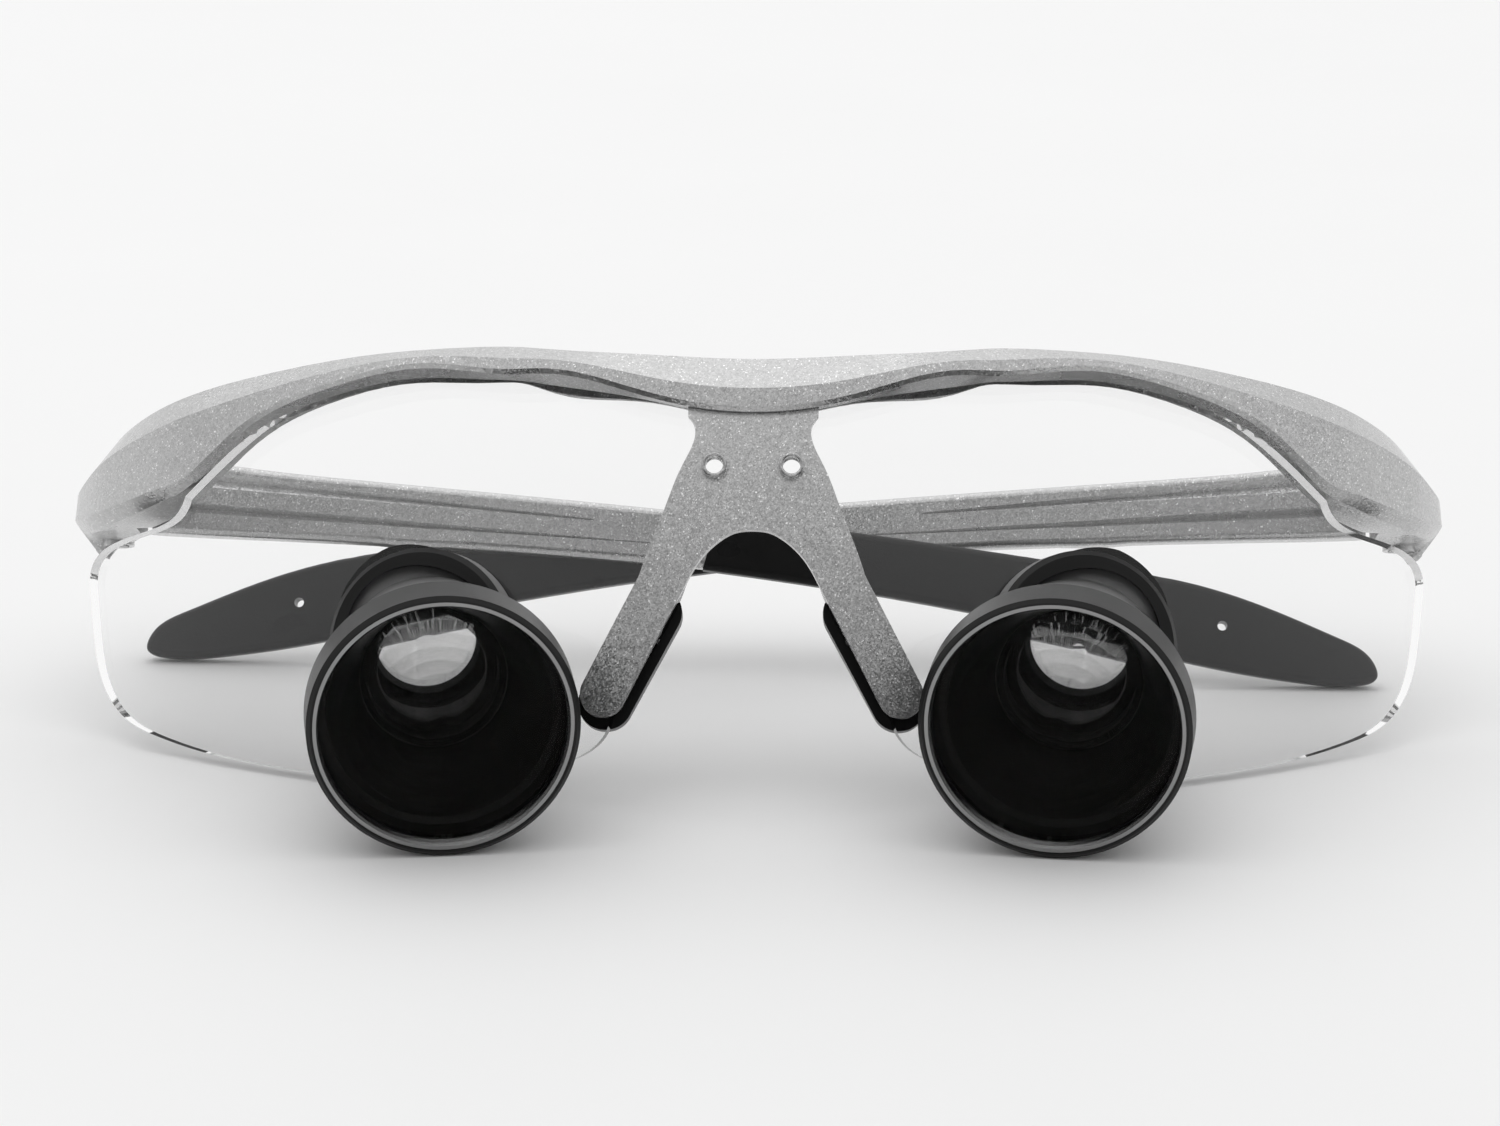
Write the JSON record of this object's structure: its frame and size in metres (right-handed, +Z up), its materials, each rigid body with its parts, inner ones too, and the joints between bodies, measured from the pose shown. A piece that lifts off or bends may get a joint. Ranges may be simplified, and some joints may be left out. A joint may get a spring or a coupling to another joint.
{
  "type": "dental loupes",
  "caption": "Magnifying glasses for dental work: half-rim sports frame, clear carrier lenses and a short black telescope set through each lens.",
  "frame": {"origin": "floor under the middle of the part as it lies on its front rims and temple tips", "axes": "+Z up, +X to the wearer's left, -Y the way the telescopes face"},
  "size_m": [0.1408, 0.0686, 0.0408],
  "materials": {
    "silver_frame": "metallic paint with fine sparkle",
    "lens_glass": "clear polycarbonate, polished",
    "optical_glass": "coated and polished",
    "black_metal": "black anodised",
    "black_rubber": "matt",
    "steel": "bright"
  },
  "bodies": {
    "front": {"brow_frame": "silver_frame", "nose_plate": "silver_frame", "right_carrier_lens": "lens_glass", "right_nose_pad": "black_rubber", "right_hinge_screw": "steel", "right_hinge_insert": "steel", "right_mount_ring": "black_metal", "right_barrel": "black_metal", "right_objective_crown": "optical_glass", "right_objective_flint": "optical_glass", "right_objective_spacer": "black_metal", "right_objective_bezel": "black_metal", "right_ocular_housing": "black_metal", "right_baffle": "black_metal", "right_eye_lens": "optical_glass", "right_eye_ring": "black_metal", "left_carrier_lens": "lens_glass", "left_nose_pad": "black_rubber", "left_hinge_screw": "steel", "left_hinge_insert": "steel", "left_mount_ring": "black_metal", "left_barrel": "black_metal", "left_objective_crown": "optical_glass", "left_objective_flint": "optical_glass", "left_objective_spacer": "black_metal", "left_objective_bezel": "black_metal", "left_ocular_housing": "black_metal", "left_baffle": "black_metal", "left_eye_lens": "optical_glass", "left_eye_ring": "black_metal"},
    "right_temple": {"right_temple_arm": "silver_frame", "right_temple_tip": "black_rubber", "right_temple_core": "steel"},
    "left_temple": {"left_temple_arm": "silver_frame", "left_temple_tip": "black_rubber", "left_temple_core": "steel"}
  },
  "joints": [
    {"name": "right_temple_hinge", "type": "hinge", "parent": "front", "child": "right_temple", "pos_m": [-0.066, 0.02789, 0.01783], "axis": [0, 0.4067, 0.9135], "range_deg": [0, 95]},
    {"name": "left_temple_hinge", "type": "hinge", "parent": "front", "child": "left_temple", "pos_m": [0.066, 0.02789, 0.01783], "axis": [0, -0.4067, -0.9135], "range_deg": [0, 92]}
  ]
}
